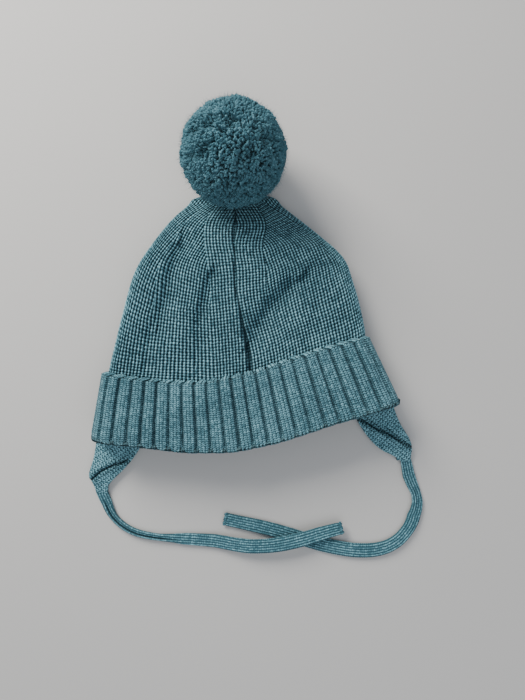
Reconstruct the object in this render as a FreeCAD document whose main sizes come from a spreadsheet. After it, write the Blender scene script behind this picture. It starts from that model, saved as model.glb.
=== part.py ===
import FreeCAD, Part
import Sketcher
import math
import os

# A baby's knitted beanie with a pom pom, a turned-up rib cuff, two ear flaps and two flat knitted
# ties. It lies flat on a table on its front, with its centre-back seam uppermost.
# Frame: millimetres, +Z up, +Y from the mouth of the hat to the pom pom, +X to the right.
# The origin is the middle of the underside of the hat, measured without the free ties.

Vector = FreeCAD.Vector

doc = FreeCAD.newDocument("pom_pom_beanie")

# ---------------------------------------------------------------------------------------------
# Driving dimensions
# ---------------------------------------------------------------------------------------------

DIMENSIONS = (
    ("knit_wall", 2.6, "thickness of the knitted fabric"),
    ("layer_gap", 0.3, "clearance between the cuff and the crown inside it"),
    ("crown_rise", 18.0, "top of the crown above the table where the cuff covers it"),
    ("crown_swell", 20.0, "top of the crown above the table at its fullest"),
    ("crown_tip_rise", 6.8, "top of the gathered end of the crown above the table"),
    ("cuff_mouth_rise", 24.5, "top of the cuff above the table at the mouth"),
    ("cuff_edge_rise", 21.0, "top of the cuff above the table at its upper edge"),
    ("cuff_rest_press", 0.15, "depth of the cuff's underside that the table presses flat"),
    ("seam_width", 3.0, "width of the linked seam ridge inside the crown"),
    ("seam_depth", 1.6, "depth of the linked seam ridge inside the crown"),
    ("flap_thickness", 4.6, "thickness of an ear flap, folded over on itself"),
    ("flap_edge_round", 1.2, "rounding of the ear flap's edges"),
    ("root_thickness", 2.4, "thickness of the ear flap's sewn root"),
    ("root_level", 5.6, "underside of the sewn root above the table"),
    ("stitch_radius", 0.45, "radius of a sewing thread's stitch"),
    ("tie_width", 9.0, "width of a flat knitted tie"),
    ("tie_thickness", 2.4, "thickness of a flat knitted tie"),
    ("tie_end_length", 2.6, "length of a tie's bound-off end"),
    ("tie_end_thickness", 2.4, "thickness of a tie's bound-off end"),
    ("tack_length", 1.1, "length of the bar tack between flap and tie"),
    ("tack_width", 5.0, "width of the bar tack between flap and tie"),
    ("tack_height", 1.6, "height of the bar tack between flap and tie"),
    ("pom_radius", 28.6, "radius of the pom pom"),
    ("core_tie_radius", 4.0, "radius of the yarn loop that binds the pom pom"),
    ("yarn_radius", 0.6, "radius of gathering and binding yarn"),
    ("shank_radius", 1.0, "radius of the yarn that sews the pom pom on"),
    ("knot_radius", 2.0, "radius of the knot inside the crown"),
    ("gather_radius", 2.6, "radius of the gathering yarn's ring"),
    ("gap_width", 7.2, "width of the gap in the gathered tip"),
    ("gap_depth", 10.0, "depth of the gap in the gathered tip"),
    ("gap_height", 4.0, "height of the gap in the gathered tip"),
    ("room_mouth_radius", 1.9, "radius of the room for the sewing yarn where it enters the pom pom"),
    ("room_end_radius", 5.6, "radius of the room for the sewing yarn at its inner end"),
    ("room_length", 12.6, "length of the room for the sewing yarn"),
    ("label_width", 12.0, "width of the care label"),
    ("label_drop", 18.0, "length of the care label"),
    ("label_thickness", 0.5, "thickness of the care label"),
)

sheet = doc.addObject("Spreadsheet::Sheet", "Dimensions")
for row, (alias, value, meaning) in enumerate(DIMENSIONS, start=1):
    sheet.set("A%d" % row, meaning)
    sheet.set("B%d" % row, str(value))
    sheet.setAlias("B%d" % row, alias)
doc.recompute()


def size(alias):
    """The value of one driving dimension, in millimetres."""
    return float(sheet.get(alias))


def feature(kind, name):
    """A new document object whose label is its own name."""
    made = doc.addObject(kind, name)
    made.Label = name
    return made


# ---------------------------------------------------------------------------------------------
# Flattened knitted tubes: closed sections that a loft joins
# ---------------------------------------------------------------------------------------------


def flat_section(left, right, bottom, top, inset=0.0):
    """A flattened tube's section: two level runs joined by half circles, from plan point to plan point."""
    left = Vector(left[0], left[1], 0)
    right = Vector(right[0], right[1], 0)
    along = (right - left).normalize()
    left = left + along * inset
    right = right - along * inset
    low, high = bottom + inset, top - inset
    round_end = along * ((high - low) / 2)
    down, up = Vector(0, 0, low), Vector(0, 0, high)
    middle = Vector(0, 0, (low + high) / 2)
    a, b = left + round_end + down, right - round_end + down
    c, d = right - round_end + up, left + round_end + up
    edges = [
        Part.LineSegment(a, b).toShape(),
        Part.Arc(b, right + middle, c).toShape(),
        Part.LineSegment(c, d).toShape(),
        Part.Arc(d, left + middle, a).toShape(),
    ]
    return Part.Wire(edges)


def tube_loft(name, sections):
    """A solid whose walls run straight from wire to wire, each wire its own document object."""
    wires = []
    for number, wire in enumerate(sections, start=1):
        station = feature("Part::Feature", "%s_station_%d" % (name, number))
        station.Shape = wire
        wires.append(station)
    loft = feature("Part::Loft", name)
    loft.Sections = wires
    loft.Solid = True
    loft.Ruled = True
    return loft


def plan_prism(name, outline, height):
    """An upright prism over a plan outline. Each entry is the points that one smooth edge runs through."""
    edges = []
    for points in outline:
        corners = [Vector(x, y, 0) for x, y in points]
        if len(corners) == 2:
            edges.append(Part.LineSegment(corners[0], corners[1]).toShape())
        else:
            curve = Part.BSplineCurve()
            curve.interpolate(corners)
            edges.append(curve.toShape())
    face = feature("Part::Feature", name + "_outline")
    face.Shape = Part.Face(Part.Wire(edges))
    prism = feature("Part::Extrusion", name)
    prism.Base = face
    prism.DirMode = "Custom"
    prism.Dir = Vector(0, 0, 1)
    prism.LengthFwd = height
    prism.Solid = True
    return prism


def cut(name, base, tool):
    made = feature("Part::Cut", name)
    made.Base = base
    made.Tool = tool
    return made


def common(name, base, tool):
    made = feature("Part::Common", name)
    made.Base = base
    made.Tool = tool
    return made


# Crown: one piece of fine rib, shaped by decreases, that narrows from the mouth to the gathered tip.
# Each station is (left point, right point, underside, top) of the flattened crown.
wall = size("knit_wall")
crown_floor = wall + size("layer_gap")
crown_rise = size("crown_rise")
crown_swell = size("crown_swell")

MOUTH_LEFT, MOUTH_RIGHT = (-85.0, -72.0), (77.5, -54.0)
CROWN_STATIONS = (
    (MOUTH_LEFT, MOUTH_RIGHT, crown_floor, crown_rise),
    ((-80.0, -54.0), (69.8, -35.0), crown_floor, crown_rise),
    ((-75.8, -36.5), (62.6, -14.5), crown_floor, crown_rise),
    ((-72.6, -24.0), (63.0, -3.0), 0.6, crown_rise),
    ((-68.6, -6.0), (58.8, 12.0), 0.0, 18.8),
    ((-60.5, 20.0), (53.0, 26.0), 0.0, crown_swell),
    ((-49.5, 40.0), (38.5, 38.5), 0.0, 15.5),
    ((-39.5, 50.5), (23.5, 49.0), 0.0, 10.5),
    ((-28.0, 56.5), (11.7, 56.5), 0.4, size("crown_tip_rise")),
)
crown_outer = tube_loft("crown_outer", [flat_section(*station) for station in CROWN_STATIONS])

# The hollow starts in front of the mouth and stops short of the gathered tip.
BEYOND_MOUTH = ((-88.5, -88.0), (84.5, -72.0), crown_floor, crown_rise)
HOLLOW_END = ((-33.0, 53.0), (16.5, 53.0), 0.2, 8.6)
hollow_stations = (BEYOND_MOUTH,) + CROWN_STATIONS[:-1] + (HOLLOW_END,)
crown_hollow = tube_loft(
    "crown_hollow", [flat_section(*station, inset=wall) for station in hollow_stations]
)

# The yarn that sews the pom pom on leaves through a gap in the gathered tip.
TIP_X = -7.8
PIVOT = Vector(TIP_X, 58.4, 3.6)
KNOT = Vector(TIP_X, 49.5, 5.0)
GAP_FRONT = 48.0
GAP_LEVEL = 1.9
yarn_gap = feature("Part::Box", "yarn_gap")
yarn_gap.setExpression("Length", "Dimensions.gap_width")
yarn_gap.setExpression("Width", "Dimensions.gap_depth")
yarn_gap.setExpression("Height", "Dimensions.gap_height")
yarn_gap.Placement.Base = Vector(TIP_X - size("gap_width") / 2, GAP_FRONT, GAP_LEVEL)
doc.recompute()

crown_shell = cut("crown_shell", crown_outer, crown_hollow)
crown = cut("crown", crown_shell, yarn_gap)

# Plan cuts run this high, which is more than any part of the hat that they cut.
CUT_HEIGHT = 40.0

# Centre-back seam: a narrow linked ridge that hangs under the upper wall, inside the crown.
SEAM_PATH = (
    (2.0, -60.0),
    (0.6, -39.5),
    (-0.5, -28.0),
    (-4.8, -5.0),
    (-7.6, 12.0),
    (-7.6, 29.0),
    (-8.0, 43.0),
)


def lowered(stations, drop):
    """The same stations with their tops brought down."""
    return [(left, right, bottom, top - drop) for left, right, bottom, top in stations]


under_seam = tube_loft(
    "under_seam",
    [
        flat_section(*station, inset=wall)
        for station in lowered(hollow_stations, size("seam_depth"))
    ],
)
half_seam = size("seam_width") / 2
seam_left = [(x - half_seam, y) for x, y in SEAM_PATH]
seam_right = [(x + half_seam, y) for x, y in reversed(SEAM_PATH)]
seam_strip = plan_prism(
    "seam_strip",
    (
        seam_left,
        (seam_left[-1], seam_right[0]),
        seam_right,
        (seam_right[-1], seam_left[0]),
    ),
    CUT_HEIGHT,
)
doc.recompute()
seam_column = common("seam_column", crown_hollow, seam_strip)
crown_back_seam = cut("crown_back_seam", seam_column, under_seam)

# Gathering yarn: drawn through the last loops of the crown and pulled into a ring.
crown_gather_yarn = feature("Part::Torus", "crown_gather_yarn")
crown_gather_yarn.setExpression("Radius1", "Dimensions.gather_radius")
crown_gather_yarn.setExpression("Radius2", "Dimensions.yarn_radius")
GATHER_Y = 57.2
crown_gather_yarn.Placement = FreeCAD.Placement(
    Vector(TIP_X, GATHER_Y, PIVOT.z), FreeCAD.Rotation(Vector(1, 0, 0), 90)
)

# Cuff: the wide rib band, turned up outside the crown. A flattened tube with straight sides, cut to
# the curve that its folded lower edge and its bound upper edge make on the table. Its underside is
# pressed flat by the table, so the tube starts a little lower and the cut makes the flat face.
cuff_underside = -size("cuff_rest_press")
CUFF_FRONT = ((-94.4, -94.0), (96.5, -83.0), cuff_underside, size("cuff_mouth_rise"))
CUFF_BACK = ((-79.0, -29.0), (63.5, -9.0), cuff_underside, size("cuff_edge_rise"))
CUFF_HOLLOW_FRONT = ((-97.0, -104.9), (102.2, -95.4), 0.0, 25.2)
CUFF_HOLLOW_BACK = ((-76.4, -18.1), (57.8, 3.4), 0.0, 20.4)
CUFF_LOWER_EDGE = (
    (-100.0, -75.4),
    (-58.6, -79.3),
    (-30.9, -82.0),
    (-9.4, -81.6),
    (11.0, -78.0),
    (44.2, -67.5),
    (84.0, -56.0),
    (100.0, -51.0),
)
CUFF_UPPER_EDGE = (
    (90.0, -12.5),
    (65.8, -19.3),
    (49.5, -23.1),
    (26.2, -30.2),
    (-2.1, -39.4),
    (-25.9, -43.8),
    (-50.4, -43.0),
    (-78.6, -39.6),
    (-100.0, -36.5),
)
cuff_outer = tube_loft("cuff_outer", [flat_section(*CUFF_FRONT), flat_section(*CUFF_BACK)])
cuff_hollow = tube_loft(
    "cuff_hollow",
    [
        flat_section(*CUFF_HOLLOW_FRONT, inset=wall),
        flat_section(*CUFF_HOLLOW_BACK, inset=wall),
    ],
)
cuff_band = plan_prism(
    "cuff_band",
    (
        CUFF_LOWER_EDGE,
        (CUFF_LOWER_EDGE[-1], CUFF_UPPER_EDGE[0]),
        CUFF_UPPER_EDGE,
        (CUFF_UPPER_EDGE[-1], CUFF_LOWER_EDGE[0]),
    ),
    CUT_HEIGHT,
)
doc.recompute()
cuff_tube = cut("cuff_tube", cuff_outer, cuff_hollow)
cuff = common("cuff", cuff_tube, cuff_band)


# ---------------------------------------------------------------------------------------------
# Stitches: short threads, grouped in one node for each seam
# ---------------------------------------------------------------------------------------------


def thread_bars(name, starts, direction, length):
    """A row of equal straight stitches, as separate solids in one compound."""
    bars = []
    for number, start in enumerate(starts, start=1):
        bar = feature("Part::Cylinder", "%s_%d" % (name, number))
        bar.setExpression("Radius", "Dimensions.stitch_radius")
        bar.Height = length
        bar.Placement = FreeCAD.Placement(
            start, FreeCAD.Rotation(Vector(0, 0, 1), direction)
        )
        bars.append(bar)
    group = feature("Part::Compound", name)
    group.Links = bars
    return group


# Threads lie this far off the fabric, so that no face of theirs touches it.
THREAD_CLEARANCE = 0.05

# Cuff tacks: a few threads that hold the turned-up edge to the crown.
CUFF_TACK_PLACES = ((-58.0, -47.0), (1.5, -43.0), (47.0, -28.5))
CUFF_TACK_LENGTH = 0.8
cuff_tacks = thread_bars(
    "cuff_tacks",
    [Vector(x, y, crown_rise + THREAD_CLEARANCE) for x, y in CUFF_TACK_PLACES],
    Vector(0, 0, 1),
    CUFF_TACK_LENGTH,
)


def plate(name, outline, thickness, level, rounding=None):
    """A flat knitted or woven piece: a sketched outline, padded to its thickness."""
    body = feature("PartDesign::Body", name)
    plane = next(f for f in body.Origin.OriginFeatures if f.Role == "XY_Plane")
    sketch = body.newObject("Sketcher::SketchObject", name + "_outline")
    sketch.AttachmentSupport = [(plane, "")]
    sketch.MapMode = "FlatFace"
    count = len(outline)
    for number in range(count):
        here = Vector(*outline[number], 0)
        there = Vector(*outline[(number + 1) % count], 0)
        sketch.addGeometry(Part.LineSegment(here, there), False)
    for number in range(count):
        corner = ("Coincident", number, 2, (number + 1) % count, 1)
        sketch.addConstraint(Sketcher.Constraint(*corner))
    pad = body.newObject("PartDesign::Pad", name + "_pad")
    pad.Profile = sketch
    pad.setExpression("Length", "Dimensions." + thickness)
    sketch.Visibility = False
    doc.recompute()
    if rounding:
        fillet = body.newObject("PartDesign::Fillet", name + "_edges")
        edges = ["Edge%d" % (n + 1) for n in range(len(pad.Shape.Edges))]
        fillet.Base = (pad, edges)
        fillet.setExpression("Radius", "Dimensions." + rounding)
    body.Placement.Base = Vector(0, 0, level)
    doc.recompute()
    return body


# Ear flaps: a tapering garter piece, folded over on itself at each side of the hat.
FLAP_LEFT = (
    (-88.5, -77.0),
    (-62.9, -79.8),
    (-66.5, -87.5),
    (-72.0, -95.8),
    (-80.6, -105.4),
    (-89.4, -105.4),
    (-92.0, -98.1),
    (-90.6, -88.0),
)
FLAP_RIGHT = (
    (82.9, -57.6),
    (86.3, -70.5),
    (92.0, -80.5),
    (91.6, -87.4),
    (81.1, -86.4),
    (72.0, -77.2),
    (62.4, -63.9),
)
earflap_left = plate("earflap_left", FLAP_LEFT, "flap_thickness", 0.0, "flap_edge_round")
earflap_right = plate("earflap_right", FLAP_RIGHT, "flap_thickness", 0.0, "flap_edge_round")

# Sewn roots: the end of each flap, linked to the inside of the crown's edge.
ROOT_LEFT = ((-76.0, -76.2), (-62.0, -77.2), (-62.0, -64.5), (-76.0, -66.0))
ROOT_RIGHT = ((55.0, -63.0), (69.0, -59.5), (67.5, -47.5), (54.0, -49.0))
earflap_root_left = plate("earflap_root_left", ROOT_LEFT, "root_thickness", size("root_level"))
earflap_root_right = plate("earflap_root_right", ROOT_RIGHT, "root_thickness", size("root_level"))

ROW_STITCHES = 5
ROOT_STITCH_STEP = 2.4
ROOT_STITCH_LENGTH = 2.4
ROOT_STITCH_LEAN = Vector(0.3, 1, 0)
ROOT_ROW_LEFT = (-74.5, -68.5)
ROOT_ROW_RIGHT = (55.5, -53.0)
stitch_lift = size("stitch_radius") + THREAD_CLEARANCE
root_top = size("root_level") + size("root_thickness")


def stitch_row(first, step, level):
    """The starting points of a row of stitches, side by side towards +X."""
    return [Vector(first[0] + step * n, first[1], level) for n in range(ROW_STITCHES)]


earflap_stitches_left = thread_bars(
    "earflap_stitches_left",
    stitch_row(ROOT_ROW_LEFT, ROOT_STITCH_STEP, root_top + stitch_lift),
    ROOT_STITCH_LEAN,
    ROOT_STITCH_LENGTH,
)
earflap_stitches_right = thread_bars(
    "earflap_stitches_right",
    stitch_row(ROOT_ROW_RIGHT, ROOT_STITCH_STEP, root_top + stitch_lift),
    ROOT_STITCH_LEAN,
    ROOT_STITCH_LENGTH,
)

# Care label: a blank woven tag that hangs from the upper wall beside the seam, with its stitches.
LABEL_CLEARANCE = 0.2
label_top = crown_rise - wall - 2 * size("stitch_radius") - LABEL_CLEARANCE
LABEL_X, LABEL_Y = 8.0, -66.0
label_right = LABEL_X + size("label_width")
label_back = LABEL_Y + size("label_drop")
LABEL = (
    (LABEL_X, LABEL_Y),
    (label_right, LABEL_Y),
    (label_right, label_back),
    (LABEL_X, label_back),
)
care_label = plate("care_label", LABEL, "label_thickness", label_top - size("label_thickness"))
LABEL_STITCH_MARGIN = 1.2
LABEL_STITCH_STEP = 2.2
LABEL_STITCH_LENGTH = 1.8
LABEL_STITCH_SETBACK = 2.6
label_row = (LABEL_X + LABEL_STITCH_MARGIN, label_back - LABEL_STITCH_SETBACK)
label_stitches = thread_bars(
    "label_stitches",
    stitch_row(label_row, LABEL_STITCH_STEP, label_top + stitch_lift),
    Vector(0, 1, 0),
    LABEL_STITCH_LENGTH,
)

# ---------------------------------------------------------------------------------------------
# Pom pom: a ball of cut yarn, bound at its heart and sewn through the gathered tip
# ---------------------------------------------------------------------------------------------

POM_FAR_EDGE = 105.4
pom_centre = Vector(TIP_X, POM_FAR_EDGE - size("pom_radius"), size("pom_radius"))
to_centre = (pom_centre - PIVOT).normalize()
towards_pom = FreeCAD.Rotation(Vector(0, 0, 1), to_centre)

pom_ball = feature("Part::Sphere", "pom_ball")
pom_ball.setExpression("Radius", "Dimensions.pom_radius")
pom_ball.Placement.Base = pom_centre

# Room inside the tufts for the sewing yarn while the pom pom nods.
SHANK_REACH = 11.0
yarn_room = feature("Part::Cone", "yarn_room")
yarn_room.setExpression("Radius1", "Dimensions.room_mouth_radius")
yarn_room.setExpression("Radius2", "Dimensions.room_end_radius")
yarn_room.setExpression("Height", "Dimensions.room_length")
yarn_room.Placement = FreeCAD.Placement(PIVOT, towards_pom)

pom_core_tie = feature("Part::Torus", "pom_core_tie")
pom_core_tie.setExpression("Radius1", "Dimensions.core_tie_radius")
pom_core_tie.setExpression("Radius2", "Dimensions.yarn_radius")
pom_core_tie.Placement = FreeCAD.Placement(pom_centre, towards_pom)
doc.recompute()

pom_with_room = cut("pom_with_room", pom_ball, yarn_room)
pom_pom = cut("pom_pom", pom_with_room, pom_core_tie)


def yarn(name, start, end, radius):
    """A straight length of round yarn."""
    made = feature("Part::Cylinder", name)
    made.setExpression("Radius", "Dimensions." + radius)
    made.Height = (end - start).Length
    made.Placement = FreeCAD.Placement(
        start, FreeCAD.Rotation(Vector(0, 0, 1), end - start)
    )
    return made


# Shank: the sewing yarn, from the knot inside the crown to the pivot and on into the pom pom.
knot_face = KNOT + (PIVOT - KNOT).normalize() * size("knot_radius")
inner_yarn = yarn("inner_yarn", knot_face, PIVOT, "shank_radius")
outer_yarn = yarn("outer_yarn", PIVOT, PIVOT + to_centre * SHANK_REACH, "shank_radius")
yarn_bend = feature("Part::Sphere", "yarn_bend")
yarn_bend.setExpression("Radius", "Dimensions.shank_radius")
yarn_bend.Placement.Base = PIVOT
shank_whole = feature("Part::MultiFuse", "shank_whole")
shank_whole.Shapes = [inner_yarn, yarn_bend, outer_yarn]

pom_knot = feature("Part::Sphere", "pom_knot")
pom_knot.setExpression("Radius", "Dimensions.knot_radius")
pom_knot.Placement.Base = KNOT
doc.recompute()
pom_shank = cut("pom_shank", shank_whole, pom_knot)

# ---------------------------------------------------------------------------------------------
# Ties: flat knitted bands that lie free on the table
# ---------------------------------------------------------------------------------------------

# Routes from the flap's tip to the bound-off end. The left tie lies over the right one where they
# cross, in a long low hump.
TIE_LEFT = (
    (-85.6, -107.5, 1.3),
    (-83.4, -116.6, 1.3),
    (-77.4, -125.6, 1.3),
    (-67.2, -132.4, 1.3),
    (-53.4, -135.2, 1.3),
    (-37.5, -135.9, 1.3),
    (-20.5, -137.8, 1.4),
    (-3.0, -138.9, 4.6),
    (14.0, -138.2, 5.4),
    (30.5, -134.6, 5.3),
    (43.0, -130.9, 4.1),
    (51.5, -128.7, 4.1),
)
TIE_RIGHT = (
    (87.6, -89.7, 1.3),
    (90.6, -98.8, 1.3),
    (95.4, -109.0, 1.3),
    (96.9, -119.8, 1.3),
    (93.2, -130.6, 1.3),
    (84.9, -138.6, 1.3),
    (73.6, -142.4, 1.3),
    (61.0, -142.4, 1.3),
    (48.5, -140.4, 1.3),
    (36.0, -137.2, 1.3),
    (23.0, -133.0, 1.3),
    (9.5, -129.3, 1.3),
    (-2.5, -126.6, 1.3),
    (-13.0, -124.4, 1.3),
)
ARC_SHARE = 0.45
TACK_GAP = 0.3


def route_wire(name, points):
    """Straight runs joined by tangent arcs as large as their runs allow."""
    corners = [Vector(*point) for point in points]
    edges = []
    radii = []
    start = corners[0]
    for before, corner, after in zip(corners, corners[1:], corners[2:]):
        incoming, outgoing = corner - before, after - corner
        turn = incoming.getAngle(outgoing)
        reach = ARC_SHARE * min(incoming.Length, outgoing.Length)
        radius = reach / math.tan(turn / 2)
        arc_start = corner - incoming.normalize() * reach
        arc_end = corner + outgoing.normalize() * reach
        inward = (arc_start + arc_end) * 0.5 - corner
        centre_distance = radius / math.cos(turn / 2)
        inward.normalize()
        middle = corner + inward * (centre_distance - radius)
        edges.append(Part.LineSegment(start, arc_start).toShape())
        edges.append(Part.Arc(arc_start, middle, arc_end).toShape())
        radii.append(radius)
        start = arc_end
    edges.append(Part.LineSegment(start, corners[-1]).toShape())
    print(name, "radii", " ".join("%.1f" % radius for radius in radii))
    return Part.Wire(edges)


def band_section(start, direction, width, thickness):
    """An upright rounded rectangle across the start of a band."""
    across = Vector(0, 0, 1).cross(direction).normalize()
    up = direction.cross(across).normalize()
    edge = thickness / 2
    flat = across * (width / 2 - edge)
    rise = up * edge
    side = across * (width / 2)
    a, b = start - flat - rise, start + flat - rise
    c, d = start + flat + rise, start - flat + rise
    return Part.Wire(
        [
            Part.LineSegment(a, b).toShape(),
            Part.Arc(b, start + side, c).toShape(),
            Part.LineSegment(c, d).toShape(),
            Part.Arc(d, start - side, a).toShape(),
        ]
    )


def tie_band(name, points):
    """A flat band swept along its route, kept level across its width."""
    route = route_wire(name, points)
    start = Vector(*points[0])
    direction = (Vector(*points[1]) - start).normalize()
    section = band_section(start, direction, size("tie_width"), size("tie_thickness"))
    sweep = Part.BRepOffsetAPI.MakePipeShell(route)
    sweep.setBiNormalMode(Vector(0, 0, 1))
    sweep.add(section)
    sweep.build()
    sweep.makeSolid()
    band = feature("Part::Feature", name)
    band.Shape = sweep.shape()
    area = Part.Face(section).Area
    figures = (name, route.Length, band.Shape.Volume, area * route.Length)
    print("%s length %.1f, volume %.0f, section times length %.0f" % figures)
    return band


def tie_finish(name, points):
    """The bound-off last rows of a tie, a small block across its end."""
    last, before = Vector(*points[-1]), Vector(*points[-2])
    direction = (last - before).normalize()
    across = Vector(0, 0, 1).cross(direction).normalize()
    up = direction.cross(across)
    block = feature("Part::Box", name)
    block.setExpression("Length", "Dimensions.tie_end_length")
    block.setExpression("Width", "Dimensions.tie_width")
    block.setExpression("Height", "Dimensions.tie_end_thickness")
    turned = FreeCAD.Rotation(direction, across, up, "XYZ")
    corner = last - across * (size("tie_width") / 2) - up * (size("tie_end_thickness") / 2)
    block.Placement = FreeCAD.Placement(corner, turned)
    return block


def tie_tack(name, points):
    """The bar tack that sews the start of a tie to the tip of its flap."""
    first, second = Vector(*points[0]), Vector(*points[1])
    direction = (second - first).normalize()
    across = Vector(0, 0, 1).cross(direction).normalize()
    up = direction.cross(across)
    tack = feature("Part::Box", name)
    tack.setExpression("Length", "Dimensions.tack_length")
    tack.setExpression("Width", "Dimensions.tack_width")
    tack.setExpression("Height", "Dimensions.tack_height")
    turned = FreeCAD.Rotation(direction, across, up, "XYZ")
    back = direction * (size("tack_length") + TACK_GAP)
    middle = across * (size("tack_width") / 2) + up * (size("tack_height") / 2)
    corner = first - back - middle
    tack.Placement = FreeCAD.Placement(corner, turned)
    return tack


tie_left = tie_band("tie_left", TIE_LEFT)
tie_right = tie_band("tie_right", TIE_RIGHT)
tie_end_left = tie_finish("tie_end_left", TIE_LEFT)
tie_end_right = tie_finish("tie_end_right", TIE_RIGHT)
tie_tack_left = tie_tack("tie_tack_left", TIE_LEFT)
tie_tack_right = tie_tack("tie_tack_right", TIE_RIGHT)

doc.recompute()

# ---------------------------------------------------------------------------------------------
# Checks and files
# ---------------------------------------------------------------------------------------------

NODES = (
    crown,
    crown_back_seam,
    crown_gather_yarn,
    cuff,
    cuff_tacks,
    earflap_left,
    earflap_right,
    earflap_root_left,
    earflap_root_right,
    earflap_stitches_left,
    earflap_stitches_right,
    tie_left,
    tie_right,
    tie_end_left,
    tie_end_right,
    tie_tack_left,
    tie_tack_right,
    pom_pom,
    pom_core_tie,
    pom_shank,
    pom_knot,
    care_label,
    label_stitches,
)

for item in doc.Objects:
    if "Invalid" in item.State or "Error" in item.State:
        raise RuntimeError("%s failed: %s" % (item.Label, item.State))
for node in NODES:
    if node.Shape.isNull() or not node.Shape.isValid() or not node.Shape.Solids:
        raise RuntimeError("%s has no valid solid" % node.Label)

os.makedirs("parts", exist_ok=True)
for node in NODES:
    node.Shape.exportStep(os.path.join("parts", node.Label + ".step"))
    box = node.Shape.BoundBox
    print("%-24s solids %d volume %9.1f  x %.1f..%.1f  y %.1f..%.1f  z %.1f..%.1f" % (
        node.Label, len(node.Shape.Solids), node.Shape.Volume,
        box.XMin, box.XMax, box.YMin, box.YMax, box.ZMin, box.ZMax))
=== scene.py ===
import math

import bmesh
import bpy
import numpy as np
from mathutils import Matrix, Vector


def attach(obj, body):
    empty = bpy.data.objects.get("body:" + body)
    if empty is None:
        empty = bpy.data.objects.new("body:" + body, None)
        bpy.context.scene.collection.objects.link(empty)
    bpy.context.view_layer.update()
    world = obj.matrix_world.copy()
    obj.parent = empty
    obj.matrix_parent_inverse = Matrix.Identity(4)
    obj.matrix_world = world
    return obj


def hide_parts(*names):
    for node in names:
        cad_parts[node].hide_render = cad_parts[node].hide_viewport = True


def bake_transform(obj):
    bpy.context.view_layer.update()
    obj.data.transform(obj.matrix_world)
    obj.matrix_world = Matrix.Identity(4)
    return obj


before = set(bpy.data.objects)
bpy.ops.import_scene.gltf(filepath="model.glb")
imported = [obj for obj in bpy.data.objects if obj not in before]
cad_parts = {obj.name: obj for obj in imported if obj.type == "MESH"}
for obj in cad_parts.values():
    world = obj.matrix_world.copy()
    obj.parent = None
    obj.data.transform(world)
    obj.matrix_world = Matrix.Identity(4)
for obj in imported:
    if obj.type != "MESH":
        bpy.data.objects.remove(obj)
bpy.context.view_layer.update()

MM = 0.001

# Camera.
# A hand-held camera looks straight down on the hat from about 30 cm.
CAMERA_AT = (0.00745, -0.0264, 0.305)
CAMERA_LENS = 27.0
CAMERA_SENSOR = 36.0
camera_data = bpy.data.cameras.new("camera")
camera_data.lens = CAMERA_LENS
camera_data.sensor_width = CAMERA_SENSOR
camera_data.clip_start = 0.01
camera_data.clip_end = 20.0
camera = bpy.data.objects.new("camera", camera_data)
camera.location = CAMERA_AT
bpy.context.scene.collection.objects.link(camera)
bpy.context.scene.camera = camera

# The routes of the two ties.
# Each tie is a flat knitted strip lying free on the table. Its line is a smooth spline with these control
# points.
TIE_LEFT_ROUTE = [
    (-0.0856, -0.1075, 0.0013), (-0.0834, -0.1166, 0.0013), (-0.0774, -0.1256, 0.0013),
    (-0.0672, -0.1324, 0.0013), (-0.0534, -0.1352, 0.0013), (-0.0375, -0.1359, 0.0013),
    (-0.0205, -0.1378, 0.0014), (-0.0030, -0.1389, 0.0046), (0.0140, -0.1382, 0.0054),
    (0.0305, -0.1346, 0.0053), (0.0430, -0.1309, 0.0041), (0.0515, -0.1287, 0.0041),
]
TIE_RIGHT_ROUTE = [
    (0.0876, -0.0897, 0.0013), (0.0906, -0.0988, 0.0013), (0.0954, -0.1090, 0.0013),
    (0.0969, -0.1198, 0.0013), (0.0932, -0.1306, 0.0013), (0.0849, -0.1386, 0.0013),
    (0.0736, -0.1424, 0.0013), (0.0610, -0.1424, 0.0013), (0.0485, -0.1404, 0.0013),
    (0.0360, -0.1372, 0.0013), (0.0230, -0.1330, 0.0013), (0.0095, -0.1293, 0.0013),
    (-0.0025, -0.1266, 0.0013), (-0.0130, -0.1244, 0.0013),
]
TIE_THICKNESS = 2.4


def route_line(name, points):
    """The smooth line through a route's control points, read from a NURBS spline, in millimetres."""
    curve = bpy.data.curves.new(name, "CURVE")
    curve.dimensions = "3D"
    curve.resolution_u = 24
    spline = curve.splines.new("NURBS")
    spline.points.add(len(points) - 1)
    for point, place in zip(spline.points, points):
        point.co = (*place, 1.0)
    spline.order_u = 3
    spline.use_endpoint_u = True
    holder = bpy.data.objects.new(name, curve)
    mesh = bpy.data.meshes.new_from_object(holder)
    line = np.array([v.co for v in mesh.vertices], float) / MM
    bpy.data.objects.remove(holder)
    bpy.data.curves.remove(curve)
    bpy.data.meshes.remove(mesh)
    return line


def evenly(line, step):
    """The line with points at an even step, and the distance of each along it."""
    gaps = np.linalg.norm(np.diff(line, axis=0), axis=1)
    along = np.concatenate([[0.0], np.cumsum(gaps)])
    at = np.linspace(0.0, along[-1], int(math.ceil(along[-1] / step)) + 1)
    return np.stack([np.interp(at, along, line[:, k]) for k in range(3)], axis=1), at


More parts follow.
